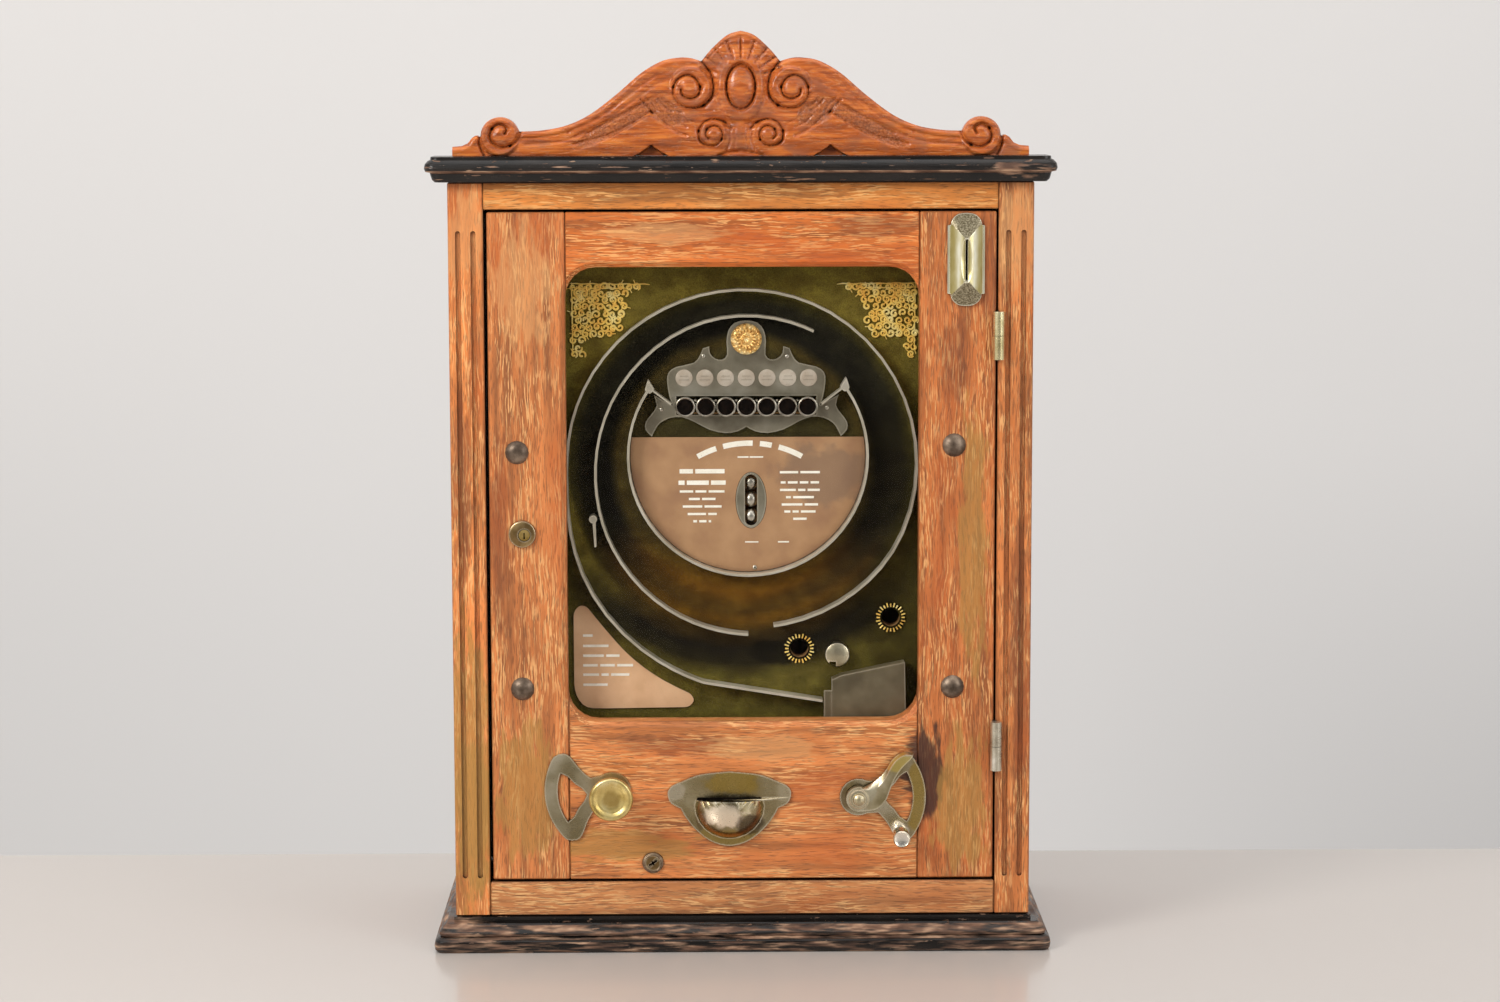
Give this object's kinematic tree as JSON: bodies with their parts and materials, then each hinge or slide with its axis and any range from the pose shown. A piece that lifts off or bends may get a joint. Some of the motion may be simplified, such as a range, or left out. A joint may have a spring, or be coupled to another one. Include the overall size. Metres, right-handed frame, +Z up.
{
  "type": "wall-mounted ball flick arcade machine",
  "caption": "Oak wall cabinet with a glazed hinged door, a spiral steel ball track, winning cups, a flick trigger, a payout knob and cup, and a carved crest.",
  "frame": {"origin": "centre of the plinth's underside, midway between its sides and between its front at 117 mm and its back at 118 mm", "axes": "+X to the player's right, +Y into the machine towards the wall, +Z up"},
  "size_m": [0.504, 0.2574, 0.7444],
  "materials": {
    "oak": "waxed quarter-sawn oak, warm orange brown with pale open grain",
    "carved_oak": "carved oak, red brown, wax darkened in the hollows",
    "ebonised_wood": "black stained moulding, rubbed through to pinkish wood along the edges",
    "pine": "plain unfinished softwood",
    "velvet_board": "plywood board faced with olive green velvet, faded brown in the ball lanes",
    "glass": "clear flat glass",
    "bright_steel": "bright drawn steel with light wear",
    "worn_nickel": "tarnished nickel plate, brown towards the edges",
    "brass": "polished brass with brown speckled patina",
    "dark_bronze": "dark bronzed brass, rubbed on the crown",
    "gilt_brass": "gilt stamped brass",
    "tin_sheet": "dull tinned sheet",
    "card": "taupe brown printed card, plain rules only"
  },
  "bodies": {
    "cabinet": {"plinth": "ebonised_wood", "cornice": "ebonised_wood", "pediment": "carved_oak", "side_panel_left": "oak", "side_panel_right": "oak", "back_panel": "pine", "pilaster_left": "oak", "pilaster_right": "oak", "frame_rail_top": "oak", "frame_rail_bottom": "oak", "hinge_leaf_frame_upper": "brass", "hinge_leaf_frame_lower": "worn_nickel", "cash_box": "tin_sheet"},
    "door": {"door_stile_left": "oak", "door_stile_right": "oak", "door_rail_top": "oak", "door_rail_bottom": "oak", "window_glass": "glass", "hinge_leaf_door_upper": "brass", "hinge_leaf_door_lower": "worn_nickel", "coach_bolt_left_upper": "dark_bronze", "coach_bolt_left_lower": "dark_bronze", "coach_bolt_right_upper": "dark_bronze", "coach_bolt_right_lower": "dark_bronze", "coin_plate": "brass", "payout_cup": "worn_nickel", "knob_plate": "worn_nickel", "trigger_plate": "worn_nickel", "lock_body": "brass", "playfield_frame": "pine", "playfield_board": "velvet_board", "outer_track": "bright_steel", "middle_track": "bright_steel", "cup_ring": "bright_steel", "cup_plate": "worn_nickel", "cup_tubes": "bright_steel", "rosette": "gilt_brass", "instruction_plate": "card", "reserve_window": "worn_nickel", "instruction_card": "card", "spandrel_left": "gilt_brass", "spandrel_right": "gilt_brass", "exit_ring_left": "gilt_brass", "exit_ring_right": "gilt_brass", "ball_outlet_shield": "worn_nickel", "shooter_cover": "worn_nickel", "coin_chute": "tin_sheet", "coin_tube": "brass", "trigger_spring": "bright_steel"},
    "trigger": {"trigger_lever": "worn_nickel", "hammer_spindle": "bright_steel"},
    "knob": {"knob": "brass", "knob_spindle": "bright_steel"},
    "payout_slide": {"payout_slide": "bright_steel"},
    "lock_plug": {"lock_plug": "brass"},
    "lower_lock_plug": {"lower_lock_plug": "brass"},
    "gate_flap": {"gate_flap": "bright_steel"},
    "reserve_balls": {"reserve_ball_lower": "bright_steel", "reserve_ball_middle": "bright_steel", "reserve_ball_upper": "bright_steel"}
  },
  "joints": [
    {"name": "door_swing", "type": "hinge", "parent": "cabinet", "child": "door", "pos_m": [0.2065, -0.1049, 0], "axis": [0, 0, 1], "range_deg": [0, 110]},
    {"name": "trigger_pull", "type": "hinge", "parent": "door", "child": "trigger", "pos_m": [0.0946, -0.1, 0.1247], "axis": [0, 1, 0], "range_deg": [0, 35], "stiffness_Nm_per_rad": 0.15, "springref_deg": -11.46},
    {"name": "knob_turn", "type": "hinge", "parent": "door", "child": "knob", "pos_m": [-0.1061, -0.1, 0.1309], "axis": [0, 1, 0], "range_deg": [0, 110]},
    {"name": "payout_travel", "type": "slide", "parent": "door", "child": "payout_slide", "axis": [1, 0, 0], "range_m": [0, 0.03456]},
    {"name": "lock_turn", "type": "hinge", "parent": "door", "child": "lock_plug", "pos_m": [-0.1756, -0.1, 0.3411], "axis": [0, 1, 0], "range_deg": [0, 90]},
    {"name": "lower_lock_turn", "type": "hinge", "parent": "door", "child": "lower_lock_plug", "pos_m": [-0.0732, -0.1, 0.0706], "axis": [0, 1, 0], "range_deg": [0, 90]},
    {"name": "gate_swing", "type": "hinge", "parent": "door", "child": "gate_flap", "pos_m": [-0.121, -0.067, 0.3501], "axis": [0, 1, 0], "range_deg": [0, 30]},
    {"name": "reserve_ball_drop", "type": "slide", "parent": "door", "child": "reserve_balls", "axis": [0, 0, -1], "range_m": [0, 0.0135]}
  ],
  "couplings": [
    {"joint": "payout_travel", "follows": "knob_turn", "m_per_rad": 0.018}
  ]
}
